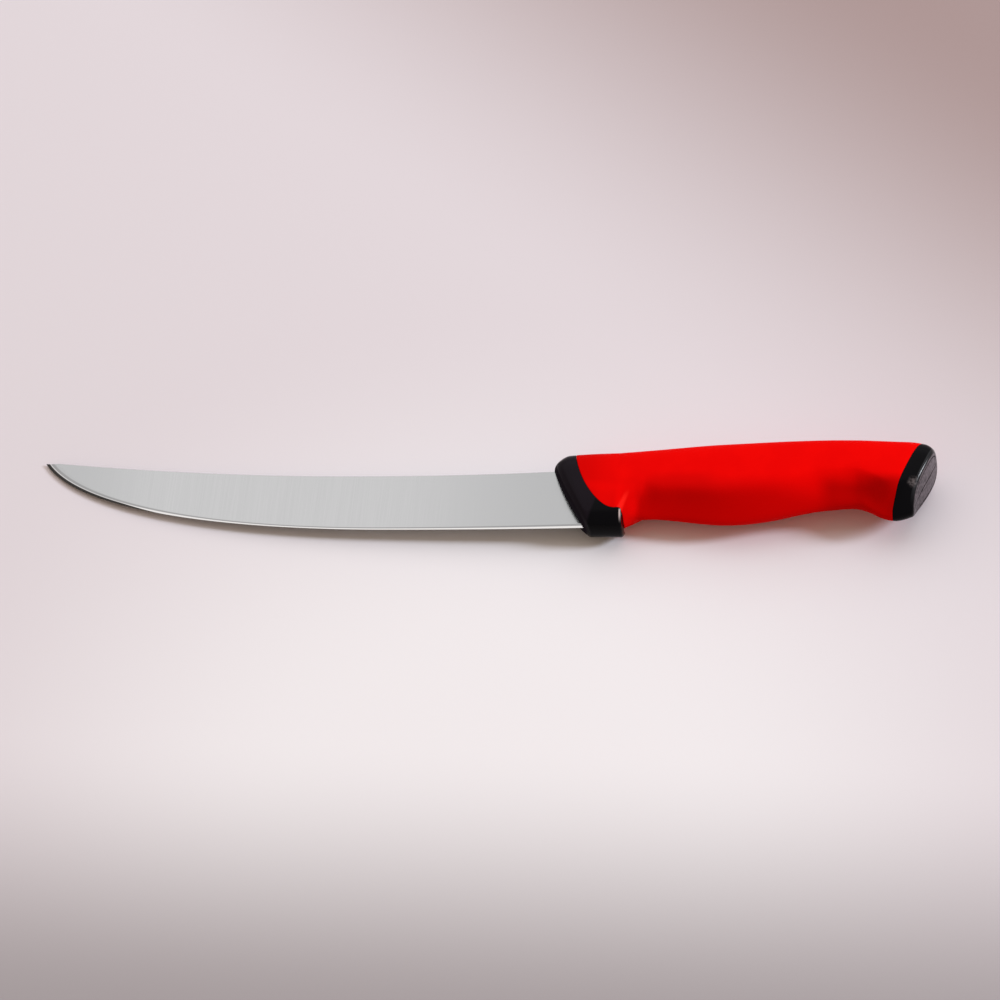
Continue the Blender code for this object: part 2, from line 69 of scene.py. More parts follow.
class Tap:
    """A socket of a material's or the world's nodes.

    Sums, differences, products and quotients of taps, and of taps and numbers, add Math nodes.
    """

    def __init__(self, tree, socket=None):
        self.tree = tree
        self.socket = socket

    def add(self, kind, settings=None, inputs=None, out=0):
        """Adds a node of a type, with its settings and then its sockets' values or links."""
        node = self.tree.nodes.new("ShaderNode" + kind)
        for name, value in (settings or {}).items():
            setattr(node, name, value)
        for name, value in (inputs or {}).items():
            if isinstance(value, Tap):
                self.tree.links.new(value.socket, node.inputs[name])
            else:
                node.inputs[name].default_value = value
        return Tap(self.tree, node.outputs[out])

    def maths(self, operation, *values):
        """A Math node on these values."""
        return self.add("Math", {"operation": operation}, dict(enumerate(values)))

    def blend(self, low, high):
        """The mix of two colours, by this tap's share of the second."""
        return self.add("Mix", {"data_type": "RGBA"}, {0: self, 6: low, 7: high}, out=2)

    def ramp(self, start, end):
        """A soft step from 0 at the start value to 1 at the end value."""
        return self.add("MapRange", {"interpolation_type": "SMOOTHSTEP"}, {0: self, 1: start, 2: end})

    def __add__(self, other):
        return self.maths("ADD", self, other)

    def __radd__(self, other):
        return self.maths("ADD", other, self)

    def __sub__(self, other):
        return self.maths("SUBTRACT", self, other)

    def __rsub__(self, other):
        return self.maths("SUBTRACT", other, self)

    def __mul__(self, other):
        return self.maths("MULTIPLY", self, other)

    def __rmul__(self, other):
        return self.maths("MULTIPLY", other, self)

    def __truediv__(self, other):
        return self.maths("DIVIDE", self, other)

    def __rtruediv__(self, other):
        return self.maths("DIVIDE", other, self)


def new_material(name, **constants):
    """A material whose main shader has these constants on its sockets, and a tap to add its nodes from."""
    material = bpy.data.materials.new(name)
    material.use_nodes = True
    shader = material.node_tree.nodes["Principled BSDF"]
    for socket, value in constants.items():
        shader.inputs[socket.replace("_", " ").title().replace("Ior", "IOR")].default_value = value
    return material, shader, Tap(material.node_tree)


def feed(shader, tap, socket):
    """Links a tap to one of the shader's sockets."""
    tap.tree.links.new(tap.socket, shader.inputs[socket])


# The table top and the room: a smooth pale surface with a faint rosy cast, with a painted pool of light in
# front of the handle and painted shade towards the front and the far right corner. The room looks pale, also
# in the steel, and fills the shadows with a warmer light. A broad soft light hangs behind the knife and a
# smaller one to its right.
FLOOR_PAINTED_LIGHT = (0.83, 0.86, 0.95, 1.0)
FLOOR_PLAIN = (0.70, 0.69, 0.78, 1.0)
FLOOR_FRONT_PAINTED_SHADE = (0.36, 0.35, 0.39, 1.0)
FLOOR_CORNER_PAINTED_SHADE = (0.37, 0.295, 0.31, 1.0)
FLOOR_PAINTED_LIGHT_AT = (0.013, -0.134, 0.0)
FLOOR_PAINTED_LIGHT_REACH = (0.065, 0.231)
FLOOR_FRONT_SHADE_REACH = (-0.105, -0.225)
FLOOR_CORNER_SHADE_WAY = (0.617, 0.787, 0.0)
FLOOR_CORNER_SHADE_REACH = (0.080, 0.290)
FLOOR_HALF = 4.0
ROOM_SEEN = (0.73, 0.71, 0.76, 1.0)
ROOM_FILL = (1.0, 0.77, 0.56, 1.0)
ROOM_STRENGTH = 0.54

floor_mesh = bpy.data.meshes.new("table_top")
floor_corners = [(x * FLOOR_HALF, y * FLOOR_HALF, 0.0) for x, y in ((-1, -1), (1, -1), (1, 1), (-1, 1))]
floor_mesh.from_pydata(floor_corners, [], [(0, 1, 2, 3)])
floor = bpy.data.objects.new("table_top", floor_mesh)
bpy.context.scene.collection.objects.link(floor)
material, shader, tap = new_material("table_top", roughness=0.6, specular_ior_level=0.1)
place = tap.add("TexCoord", out="Object")
from_painted_light = tap.add("VectorMath", {"operation": "DISTANCE"}, {0: place, 1: FLOOR_PAINTED_LIGHT_AT}, out="Value")
inward = tap.add("SeparateXYZ", {}, {0: place}, out="Y")
to_corner = tap.add("VectorMath", {"operation": "DOT_PRODUCT"}, {0: place, 1: FLOOR_CORNER_SHADE_WAY}, out="Value")
# Painted pool of light round the handle, then painted shade towards the front and the far right corner
surface = from_painted_light.ramp(*FLOOR_PAINTED_LIGHT_REACH).blend(FLOOR_PAINTED_LIGHT, FLOOR_PLAIN)
surface = inward.ramp(*FLOOR_FRONT_SHADE_REACH).blend(surface, FLOOR_FRONT_PAINTED_SHADE)
surface = to_corner.ramp(*FLOOR_CORNER_SHADE_REACH).blend(surface, FLOOR_CORNER_PAINTED_SHADE)
feed(shader, surface, "Base Color")
floor_mesh.materials.append(material)

world = bpy.data.worlds.new("room")
bpy.context.scene.world = world
world.use_nodes = True
room = Tap(world.node_tree)
seen = room.add("LightPath")
for ray in ("Is Glossy Ray", "Is Transmission Ray"):
    seen = room.maths("MAXIMUM", seen, room.add("LightPath", out=ray))
background = world.node_tree.nodes["Background"]
world.node_tree.links.new(seen.blend(ROOM_FILL, ROOM_SEEN).socket, background.inputs["Color"])
world.node_tree.links.new((seen * (1 - ROOM_STRENGTH) + ROOM_STRENGTH).socket, background.inputs["Strength"])


def soft_light(name, direction, distance, width, height, power, colour):
    """A rectangular lamp that faces the knife from a direction and a distance."""
    lamp = bpy.data.lights.new(name, "AREA")
    lamp.shape = "RECTANGLE"
    lamp.size = width
    lamp.size_y = height
    lamp.energy = power
    lamp.color = colour
    thing = bpy.data.objects.new(name, lamp)
    direction = Vector(direction).normalized()
    thing.location = VIEW_AIM + distance * direction
    thing.rotation_euler = direction.to_track_quat("Z", "Y").to_euler()
    bpy.context.scene.collection.objects.link(thing)


soft_light("right_softbox", direction=(1.8, 0.10, 1.0), distance=5.0, width=0.8, height=1.4, power=165.0,
           colour=(0.96, 1.0, 1.07))
soft_light("rear_softbox", direction=(-0.10, 0.50, 0.866), distance=1.4, width=2.3, height=1.9, power=9.4,
           colour=(0.97, 0.99, 1.02))

# Blade: one blank of stainless steel, ground flat on both sides down to the edge, with a narrow cutting
# bevel. Fine grinding streaks run across it, and its colour holds painted shade towards the tip and the heel
# and painted highlight and dark reflection lines along the bevel. Its tang goes into the handle. It is the
# CAD node itself.
# How the knife's own frame, with X from the tip and zero at the guard's nose, lies on the table
LIE_TILT = math.radians(2.25963)
LIE_SHIFT = Vector((0.02569415, 0.00804452, 0.00826229))
# Steel: each pair is where a soft step starts and ends, in metres or as a share
BLADE_STEEL = (0.433, 0.432, 0.413, 1.0)
BLADE_STEEL_STREAK_AND_SHADE = (0.355, 0.357, 0.341, 1.0)
BLADE_SHADE_TIP = (-0.140, -0.180)
BLADE_TIP_SHADE_SHARE = 0.8
BLADE_SHADE_HEEL = (-0.065, 0.004)
STREAK_STRETCH = (1.0, 0.012, 0.05)
STREAK_SCALE = 2600.0
STREAK_SPREAD = (0.25, 0.75)
STREAK_SHINE = 0.26
BAND_SCALE = 180.0
BAND_SPREAD = (0.3, 0.7)
BAND_SHINE = 0.08
# Bevel: half thickness where it starts, thinnest in the middle of the blade, and its painted highlight line
# and painted dark reflection lines
BEVEL_THINNEST_AT = -0.090
BEVEL_THINNEST = 0.000285
BEVEL_SWELL = 0.0211
BEVEL_SWELL_TIP = 0.0312
BEVEL_TIP_SIDE = (0.002, -0.002)
BEVEL_PAINTED_HIGHLIGHT = (0.62, 0.60, 0.56, 1.0)
BEVEL_HIGHLIGHT_TO = (0.60, 0.45)
BEVEL_PAINTED_DARK_LINE = (0.22, 0.215, 0.205, 1.0)
BEVEL_DARK_LINE_SHARE = 0.75
BEVEL_DARK_LINE_FROM = (0.46, 0.62)
BEVEL_DARK_LINE_TO = (0.98, 0.80)
BEVEL_TIP_PAINTED_DARK = (0.032, 0.029, 0.026, 1.0)
BEVEL_TIP_DARK_AT = (-0.138, -0.160)
BEVEL_TIP_DARK_SHARE = 0.38
BEVEL_TIP_DARK_START = 0.06
BEVEL_TIP_DARK_SOFT = 0.06
BLADE_ROUGHNESS = 0.16


def knife_frame(place):
    """A place on the table in the knife's own frame: the point, and its X, Y and Z."""
    point = place.add("Mapping", {"vector_type": "TEXTURE"},
                      {"Vector": place, "Location": LIE_SHIFT, "Rotation": (0, -LIE_TILT, 0)})
    return point, *(place.add("SeparateXYZ", {}, {0: point}, out=axis) for axis in "XYZ")


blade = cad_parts["blade"]
material, shader, tap = new_material("blade_steel", metallic=1.0)
place = tap.add("TexCoord", out="Object")
across = tap.add("Mapping", {"vector_type": "POINT"}, {"Vector": place, "Scale": STREAK_STRETCH})
streaks = tap.add("TexNoise", {}, {"Vector": across, "Scale": STREAK_SCALE, "Detail": 4.0, "Roughness": 0.6})
bands = tap.add("TexNoise", {}, {"Vector": across, "Scale": BAND_SCALE, "Detail": 2.0})
_, along, _, through = knife_frame(place)
shine = 1 - STREAK_SHINE - BAND_SHINE + STREAK_SHINE * streaks.ramp(*STREAK_SPREAD)
shine += BAND_SHINE * bands.ramp(*BAND_SPREAD)
# Painted shade: the steel darkens towards the tip and towards the heel
shine *= (1 - BLADE_TIP_SHADE_SHARE * along.ramp(*BLADE_SHADE_TIP)) * (1 - along.ramp(*BLADE_SHADE_HEEL))
steel = shine.blend(BLADE_STEEL_STREAK_AND_SHADE, BLADE_STEEL)
# The bevel's height is told by the blade's half thickness, as a share of that where the flat side begins
run = along - BEVEL_THINNEST_AT
side_starts = BEVEL_THINNEST + run * run * (BEVEL_SWELL + BEVEL_SWELL_TIP * run.ramp(*BEVEL_TIP_SIDE))
bevel = tap.maths("ABSOLUTE", through) / side_starts
# Painted highlight along the bevel's lower part, and a painted dark reflection line above it
steel = bevel.ramp(*BEVEL_HIGHLIGHT_TO).blend(steel, BEVEL_PAINTED_HIGHLIGHT)
line = BEVEL_DARK_LINE_SHARE * bevel.ramp(*BEVEL_DARK_LINE_FROM) * bevel.ramp(*BEVEL_DARK_LINE_TO)
steel = line.blend(steel, BEVEL_PAINTED_DARK_LINE)
# Painted dark reflection over the whole bevel near the tip
tip_dark_reflection = BEVEL_TIP_DARK_SHARE * along.ramp(*BEVEL_TIP_DARK_AT) + BEVEL_TIP_DARK_START - bevel
steel = tip_dark_reflection.ramp(-BEVEL_TIP_DARK_SOFT, BEVEL_TIP_DARK_SOFT).blend(steel, BEVEL_TIP_PAINTED_DARK)
feed(shader, steel, "Base Color")
feed(shader, BLADE_ROUGHNESS + 0.06 * streaks + 0.04 * bands, "Roughness")
feed(shader, tap.add("Bump", {}, {"Strength": 0.06, "Distance": 0.0001, "Height": streaks}), "Normal")
blade.data.materials.clear()
blade.data.materials.append(material)

# Handle core: hard black plastic, moulded round the tang in one piece. It is the guard with its lip under
# the heel, a rod with locking grooves that the grip hides, and the butt cap with its flat end.
# Seams: a hair's gap between the mouldings, with rounded edges
SKIN_INSET = 0.00003
SEAM = 0.00012
SEAM_ROUND = 0.0002
# Side view: places along the handle, and its back's heights and belly's depths there
HANDLE_LENGTH = 0.1378
HEEL_DEPTH = 0.0245
NOSE_RUN = 0.006
LIP_AT = 0.0240
LIP_END = 0.0266
WAIST_AT = 0.035
BELLY_AT = 0.0625
HOLLOW_AT = 0.105
CAP_AT = 0.127
BACK_HEIGHTS = ((0.0, 0.0), (0.0020, 0.0030), (NOSE_RUN, 0.0053), (WAIST_AT, 0.0068), (BELLY_AT, 0.0091),
                (HOLLOW_AT, 0.0105), (CAP_AT, 0.0103), (0.1335, 0.0094), (HANDLE_LENGTH, 0.0061))
BELLY_DEPTHS = ((0.0, 0.0236), (0.004, 0.0258), (LIP_AT, 0.0258), (LIP_END, 0.0223), (0.0315, 0.0206),
                (0.038, 0.0207), (BELLY_AT, 0.0230), (0.1085, 0.0154), (CAP_AT, 0.0208),
                (HANDLE_LENGTH, 0.0183))
LIP_DEPTHS = ((0.0, 0.0236), (0.004, 0.0258), (LIP_END, 0.0258))
# Section: half widths along the handle, and how its two halves and its cheeks are rounded
HALF_WIDTHS = ((NOSE_RUN, 0.0084), (LIP_END, 0.0087), (WAIST_AT, 0.0094), (BELLY_AT, 0.0107), (0.085, 0.0111),
               (CAP_AT, 0.0103), (HANDLE_LENGTH, 0.0094))
# Cheeks: place, half width gained per height, radius along the bottom, sharpness of the shoulder, hollow
CHEEKS = ((0.0, 0.60, 0.0140, 6.0, 0.0), (LIP_END, 0.60, 0.0140, 6.0, 0.0),
          (0.0315, 0.92, 0.0026, 7.0, 0.0004), (0.0380, 1.45, 0.0010, 8.0, 0.0011),
          (0.0460, 1.30, 0.0016, 9.0, 0.0012),
          (0.0620, 1.30, 0.0019, 8.0, 0.0009), (0.0800, 1.08, 0.0028, 7.0, 0.0001),
          (0.0920, 0.86, 0.0024, 7.0, 0.0006), (0.1010, 0.80, 0.0038, 7.6, 0.0017),
          (0.1080, 0.86, 0.0038, 8.0, 0.0022), (0.1160, 0.92, 0.0022, 8.0, 0.0023),
          (0.1235, 0.98, 0.0018, 7.6, 0.0020), (0.1300, 0.66, 0.0030, 6.7, 0.0001),
          (HANDLE_LENGTH, 0.30, 0.0030, 6.0, 0.0))
CHEEK_HEIGHT = 0.0102
CHEEK_LEAN = 0.0030
CHEEK_LEAN_HEIGHT = 0.008
CHEEK_FADE = 0.002
BELLY_ROUNDINGS = ((0.0, 3.0), (LIP_END, 3.0), (0.044, 3.3), (HANDLE_LENGTH, 3.3))
NOSE_HALF = 0.0044
NOSE_ROUND = 0.006
BACK_ROUNDING = 2.8
WIDEST_SHARE = 0.38
GIRTH = 0.042
TYPICAL_ROUNDING = 2.5
TYPICAL_WIDTH = 0.35
# Ends: the guard's sloped front, the butt's slanted face with its rim and border, and the blade's slot
FRONT_LEAN = 0.0123
FRONT_STRAIGHT = 0.72
BUTT_LEAN = 0.0074
BUTT_LEAN_TOP = 0.010
BUTT_LEAN_BOTTOM = -0.018
BUTT_ROUND = 0.0012
BUTT_BLEND_AT = 0.110
BUTT_GROOVE = 0.0005
SLOT_HALF = 0.0012
SLOT_DEPTH = 0.0244
SLOT_REACH = 0.003
SLOT_SOFT = 0.0004
LIP_STEP = 0.0008
LIP_ROUND = 0.0009
LIP_ROUND_RUN = 0.002
# Grip's wall and the locking grooves under it
GRIP_WALL = 0.0034
GROOVE_DEPTH = 0.0011
GROOVE_HALF = 0.003
GROOVE_SOFT = 0.0005
GROOVES_AT = (0.046, 0.070, 0.094)
# Side view of the guard's line, down to the lip's square end, and of the cap's line
GUARD_LINE_TOP = 0.0091
GUARD_LINE_FOOT = -0.03
GUARD_BAND = 0.0077
GUARD_BAND_STRAIGHT = 0.0062
LIP_TOP_DEPTH = 0.0208
LIP_TOP_START = 0.0235
LIP_TOP_PULL = 0.006
LIP_CORNER = 0.0012
LIP_END_WITHIN = 0.00005
CAP_BAND_AT = 0.1229
CAP_BAND_LEAN = 0.0103
CAP_BAND_POWER = 1.24
CAP_BAND_HEIGHT = 0.030
CAP_LINE_TOP = 0.014
CAP_LINE_LOW = -0.0195
CAP_LINE_FEET = (-0.021, -0.023)
# Mesh: columns round each half, rows of each stretch, and how the front's rows gather at the nose
NOSE_PULL = 0.0045
NOSE_PULL_FROM = 0.0205
NOSE_PULL_WIDTH = 0.2
COLUMNS = 96
CORNER_ROWS = 6
GUARD_ROWS = 44
ROD_ROWS = 161
CAP_ROWS = 36
FRONT_SHARES = (0, 0.02, 0.1, 0.25, 0.5, 0.75, 0.9, 1.0)
# Butt's end face: share of its width at each row, and whether that row is down in the border's groove
END_FACE = ((1.0, 0), (0.96, 0), (0.95, 1), (0.89, 1), (0.88, 0), (0.6, 0), (0.3, 0), (0.05, 0), (0.04, 1),
            (0, 1))
SHARP_ANGLE = math.radians(50)
SAME_POINT = 1e-6
# Plastic, with a painted sheen on the guard's side, a painted highlight spot on the cap, a painted glint on
# the lip and a painted reflection on the butt's end face: each pair is where a soft step starts and ends, in
# the knife's own frame or off a face
PLASTIC_BLACK = (0.0018, 0.0016, 0.0022, 1.0)
GUARD_BLACK_PAINTED_SHEEN = (0.0086, 0.0060, 0.0096, 1.0)
GUARD_SHEEN_SIDE = (0.0238, 0.0226)
GUARD_SHEEN_LEAN = 0.34
GUARD_SHEEN_WAVER = 0.0004
MOTTLE_SPREAD = (0.30, 0.70)
END_PAINTED_REFLECTION = (0.038, 0.033, 0.037, 1.0)
END_PAINTED_REFLECTION_PALE = (0.155, 0.132, 0.150, 1.0)
END_REFLECTION_MOTTLE = 0.7
END_REFLECTION_PALER_UP = (-0.012, 0.002)
END_EDGE = (-0.0002, -0.00008)
CAP_HIGHLIGHT_AT = (0.1307, -0.0108, 0.0095)
CAP_HIGHLIGHT_REACH = (0.0033, 0.0010)
CAP_PAINTED_HIGHLIGHT = (0.15, 0.135, 0.145, 1.0)
GLINT_GREY = (0.55, 0.47, 0.48, 1.0)
GLINT_FRONT = (LIP_END - 0.0010, LIP_END - 0.0007)
GLINT_REAR = (LIP_END - 0.0001, LIP_END - 0.0004)
GLINT_FOOT = (-0.0257, -0.0227)
GLINT_TOP = (-0.0211, -0.0219)
FRONT_EDGE = (0.0012, 0.0004)
PLASTIC_ROUGHNESS = 0.17
END_ROUGHER = 0.2
FRONT_ROUGHER = 0.7
RIM_COAT = 0.5
RIM_FROM = (-0.0015, -0.0011)
RIM_UP = (-0.018, -0.010)


def smooth_curve(x, stations):
    """A monotone cubic curve through (place, value) stations.

    The slope at a station is the weighted harmonic mean of the slopes of its two chords, and zero where
    the curve turns back. An end has the slope of the parabola through three stations.
    """
    at, value = np.array(stations, float).T
    step = np.diff(at)
    chord = np.diff(value) / step
    slope = np.zeros(len(at))
    for end, near, far in ((0, 0, 1), (-1, -1, -2)):
        tangent = (2 * step[near] + step[far]) * chord[near] - step[near] * chord[far]
        tangent /= step[near] + step[far]
        if tangent * chord[near] > 0:
            limit = 3 * abs(chord[near]) if chord[near] * chord[far] < 0 else np.inf
            slope[end] = math.copysign(min(abs(tangent), limit), tangent)
    for i in range(1, len(at) - 1):
        if chord[i - 1] * chord[i] > 0:
            before, after = step[i - 1] + 2 * step[i], 2 * step[i - 1] + step[i]
            slope[i] = (before + after) / (before / chord[i - 1] + after / chord[i])
    k = np.clip(np.searchsorted(at, x, side="right") - 1, 0, len(step) - 1)
    t = np.clip((x - at[k]) / step[k], 0, 1)
    blend = value[k] * (1 + 2 * t) * (1 - t) ** 2 + value[k + 1] * t * t * (3 - 2 * t)
    return blend + step[k] * t * (1 - t) * (slope[k] * (1 - t) - slope[k + 1] * t)


def soft_step(x):
    """Zero below 0, one above 1, and a cubic without kinks between."""
    x = np.clip(x, 0, 1)
    return x * x * (3 - 2 * x)


def section_shares(turn, belly_rounding):
    """Height and width shares of a section: a superellipse with one power above its widest height, one below.

    The turn is 0 at the back and pi at the belly.
    """
    power = np.where(turn < math.pi / 2, 2 / BACK_ROUNDING, 2 / belly_rounding)
    rise = np.cos(turn)
    return np.sign(rise) * np.abs(rise) ** power, np.abs(np.sin(turn)) ** power


quarter = soft_step(np.linspace(0, 1, 600)) * math.pi / 2
TURNS = np.concatenate([quarter, quarter[1:] + math.pi / 2])
rise, reach = section_shares(TURNS, TYPICAL_ROUNDING)
rise = rise * np.where(rise > 0, WIDEST_SHARE, 1 - WIDEST_SHARE)
ROUND = np.concatenate([[0.0], np.cumsum(np.hypot(np.diff(rise), np.diff(TYPICAL_WIDTH * reach)))])
ROUND /= ROUND[-1]


def front_face(y):
    """How far the guard's front face lies behind the nose: a slope that steepens with the depth."""
    share = np.maximum(-y, 0.0) / HEEL_DEPTH
    return FRONT_LEAN * (FRONT_STRAIGHT * share + (1 - FRONT_STRAIGHT) * share * share)


def butt_face(y):
    """Where the butt's end face lies: a slow S, furthest back at the top."""
    return HANDLE_LENGTH - BUTT_LEAN * soft_step((BUTT_LEAN_TOP - y) / (BUTT_LEAN_TOP - BUTT_LEAN_BOTTOM))


def handle_heights(s, inset, lip):
    """Top, widest height and bottom of the section at s, drawn in by an inset and let down by a lip."""
    rim = np.clip(1 - (HANDLE_LENGTH - s) / BUTT_ROUND, 0, 1)
    inset = inset + SKIN_INSET + BUTT_ROUND * (1 - np.sqrt(1 - rim * rim))
    top = smooth_curve(s, BACK_HEIGHTS) - inset
    depth = smooth_curve(s, LIP_DEPTHS if lip else BELLY_DEPTHS) - inset + lip
    return top, top - WIDEST_SHARE * (top + depth), -depth, inset


def handle_skin(s, w, inset=0.0, lip=0.0):
    """Points of one half of the handle's skin, for s along it and w round it from the back to the belly.

    A section is two half superellipses that meet at the widest height. Below, it is kept within a sloped
    cheek, a hyperbola drawn in by half a sine wave, with a soft shoulder between the two: one over the
    root of the sum of inverse powers. Near the ends its plane leans into the front and end faces.
    """
    top, widest, bottom, inset = handle_heights(s, inset, lip)
    half = smooth_curve(s, HALF_WIDTHS) - inset
    ahead = np.clip(1 - s / NOSE_ROUND, 0, 1)
    half = half - (HALF_WIDTHS[0][1] - NOSE_HALF) * (1 - np.sqrt(1 - ahead * ahead))
    rise, reach = section_shares(np.interp(w / GIRTH, ROUND, TURNS), smooth_curve(s, BELLY_ROUNDINGS))
    y = widest + rise * np.where(rise > 0, top - widest, widest - bottom)
    z = half * reach
    above = np.maximum(y - bottom, 0.0)
    at = s - CHEEK_LEAN * soft_step((y + LIP_TOP_DEPTH) / CHEEK_LEAN_HEIGHT)
    places, *columns = zip(*CHEEKS)
    slope, radius, sharpness, hollow = (smooth_curve(at, tuple(zip(places, column))) for column in columns)
    cheek = np.sqrt((slope * above) ** 2 + 2 * radius * above) + 1e-7
    cheek -= hollow * np.sin(math.pi * np.clip(above / CHEEK_HEIGHT, 0, 1))
    cheek -= inset * (np.hypot(1, slope) - slope) * above / (above + CHEEK_FADE)
    z = z / (1 + (z / cheek) ** sharpness) ** (1 / sharpness)
    x = s + front_face(y) * np.clip(1 - s / LIP_AT, 0, 1)
    lean = butt_face(y) - HANDLE_LENGTH
    x = x + lean * np.clip((s - BUTT_BLEND_AT) / (HANDLE_LENGTH - BUTT_BLEND_AT), 0, 1)
    return np.stack([x, y, z], axis=-1)


def on_skin(line, lip=0.0):
    """Skin coordinates s, w of a line drawn in the side view, kept to where it crosses the handle."""
    x, y = line.T
    front = front_face(y)
    s = np.where(x - front < LIP_AT * (1 - front / LIP_AT), (x - front) / (1 - front / LIP_AT), x)
    lean = (butt_face(y) - HANDLE_LENGTH) / (HANDLE_LENGTH - BUTT_BLEND_AT)
    s = np.where(x > BUTT_BLEND_AT, (x + lean * BUTT_BLEND_AT) / (1 + lean), s)
    top, widest, bottom, _ = handle_heights(s, 0.0, lip)
    rise = (y - widest) / np.where(y > widest, top - widest, widest - bottom)
    power = np.where(rise > 0, BACK_ROUNDING, smooth_curve(s, BELLY_ROUNDINGS)) / 2
    turn = np.arccos(np.clip(np.sign(rise) * np.abs(rise) ** power, -1, 1))
    inside = np.nonzero(np.abs(rise) < 1)[0]
    crossing = slice(max(inside[0] - 1, 0), inside[-1] + 2)
    return np.stack([s, GIRTH * np.interp(turn, TURNS, ROUND)], axis=1)[crossing]


def evenly(line, count):
    """A line again with its points at even steps of its own length."""
    run = np.concatenate([[0.0], np.cumsum(np.hypot(*np.diff(line, axis=0).T))])
    return np.stack([np.interp(np.linspace(0, run[-1], count), run, part) for part in line.T], axis=1)


def bezier(points, count):
    """Points of the cubic curve with four control points."""
    p0, p1, p2, p3 = np.array(points, float)
    t = np.linspace(0, 1, count)[:, None]
    return (1 - t) ** 3 * p0 + 3 * (1 - t) ** 2 * t * p1 + 3 * (1 - t) * t * t * p2 + t ** 3 * p3


def beside(line, distance):
    """A line moved sideways on the skin, towards the butt where the distance is positive."""
    along = np.gradient(line, axis=0)
    along /= np.hypot(*along.T)[:, None]
    moved = line + np.stack([along[:, 1], -along[:, 0]], axis=1) * np.reshape(distance, (-1, 1))
    moved[[0, -1], 1] = line[[0, -1], 1]
    return moved


lip_turn = np.linspace(0, math.pi / 2, 40)
lip_corner = np.stack([LIP_END - LIP_CORNER * (1 - np.sin(lip_turn)),
                       -LIP_TOP_DEPTH - LIP_CORNER * (1 - np.cos(lip_turn))], axis=1)
guard_side_view = np.concatenate([
    bezier(((GUARD_BAND, GUARD_LINE_TOP), (GUARD_BAND, -GUARD_BAND_STRAIGHT),
            (LIP_TOP_START - LIP_TOP_PULL, -LIP_TOP_DEPTH), (LIP_TOP_START, -LIP_TOP_DEPTH)), 400),
    lip_corner, np.linspace(lip_corner[-1], (LIP_END, GUARD_LINE_FOOT), 200)[1:]])
guard_line = evenly(on_skin(guard_side_view), COLUMNS + 1)
lip_line = evenly(on_skin(guard_side_view, LIP_STEP), COLUMNS + 1)
cap_height = np.linspace(CAP_LINE_TOP, CAP_LINE_LOW, 500)
cap_lean = CAP_BAND_LEAN * (np.maximum(cap_height - CAP_LINE_LOW, 0) / CAP_BAND_HEIGHT) ** CAP_BAND_POWER
cap_feet = [(CAP_BAND_AT, foot) for foot in CAP_LINE_FEET]
cap_side_view = np.concatenate([np.stack([CAP_BAND_AT + cap_lean, cap_height], axis=1), cap_feet])
cap_line = evenly(on_skin(cap_side_view), COLUMNS + 1)
for line in (guard_line, lip_line, cap_line):
    line[[0, -1], 1] = (0.0, GIRTH)


def between(start, end, shares, s_power=1.0, w_power=6.0):
    """Lines on the skin from a start line to an end line, whose places round the handle settle first.

    What is left of the way shrinks with a power of 1 - share: s_power along the handle, w_power round it.
    """
    shares = np.asarray(shares, float)[:, None, None]
    along = end[..., 0] + (start[..., 0] - end[..., 0]) * (1 - shares[..., 0]) ** s_power
    across = end[..., 1] + (start[..., 1] - end[..., 1]) * (1 - shares[..., 0]) ** w_power
    return np.stack([along, across], axis=-1)


def seam_edge(line, side, radius, wall, inner, lip=0.0):
    """Rows of points over a moulded edge at a seam: round the corner and straight in to an inner line."""
    turns = np.linspace(0, math.pi / 2, CORNER_ROWS)
    moved = [beside(line, side * (SEAM / 2 + radius * (1 - math.sin(turn)))) for turn in turns]
    rows = [handle_skin(*m.T, inset=radius * (1 - math.cos(turn)), lip=lip) for m, turn in zip(moved, turns)]
    floor_row = handle_skin(*beside(inner, side * SEAM / 2).T, inset=wall)
    rows += [rows[-1] + (floor_row - rows[-1]) * share for share in (1 / 3, 2 / 3, 1.0)]
    return np.array(rows)


def closed_skin(name, rows, capped, colour_material):
    """A closed mesh from rows of points on the near half and their mirror images on the far half.

    Row after row is joined by quads all the way round. A capped surface has its first and last rows on
    the middle plane, where both halves share their points. Otherwise the last row joins the first.
    """
    count, across = rows.shape[:2]
    far = rows[:, -2:0:-1] * (1, 1, -1)
    points = np.concatenate([rows, far], axis=1)
    around = points.shape[1]
    index = np.arange(count * around).reshape(count, around)
    if capped:
        for end in (0, -1):
            index[end, across:] = index[end, across - 2:0:-1]
    else:
        index = np.concatenate([index, index[:1]])
    nearer, further = index[:-1], index[1:]
    faces = np.stack([nearer, np.roll(nearer, -1, 1), np.roll(further, -1, 1), further], axis=-1)
    used, faces = np.unique(faces, return_inverse=True)
    place = Matrix.Translation(LIE_SHIFT) @ Matrix.Rotation(-LIE_TILT, 4, "Y")
    points = points.reshape(-1, 3)[used] @ np.array(place.to_3x3()).T + np.array(LIE_SHIFT)
    mesh = bpy.data.meshes.new(name)
    mesh.from_pydata(points, [], faces.reshape(-1, 4).tolist())
    shape = bmesh.new()
    shape.from_mesh(mesh)
    bmesh.ops.remove_doubles(shape, verts=shape.verts, dist=SAME_POINT)
    bmesh.ops.recalc_face_normals(shape, faces=shape.faces)
    shape.to_mesh(mesh)
    shape.free()
    mesh.materials.append(colour_material)
    mesh.shade_smooth()
    mesh.set_sharp_from_angle(angle=SHARP_ANGLE)
    thing = bpy.data.objects.new(name, mesh)
    bpy.context.scene.collection.objects.link(thing)
    return thing


def groove_share(s, gap=0.0):
    """How far down in a locking groove a place along the handle is, for grooves narrowed by a gap."""
    nearest = np.min([np.abs(s - x) for x in GROOVES_AT], axis=0)
    return soft_step((GROOVE_HALF + GROOVE_SOFT - gap - nearest) / (2 * GROOVE_SOFT))


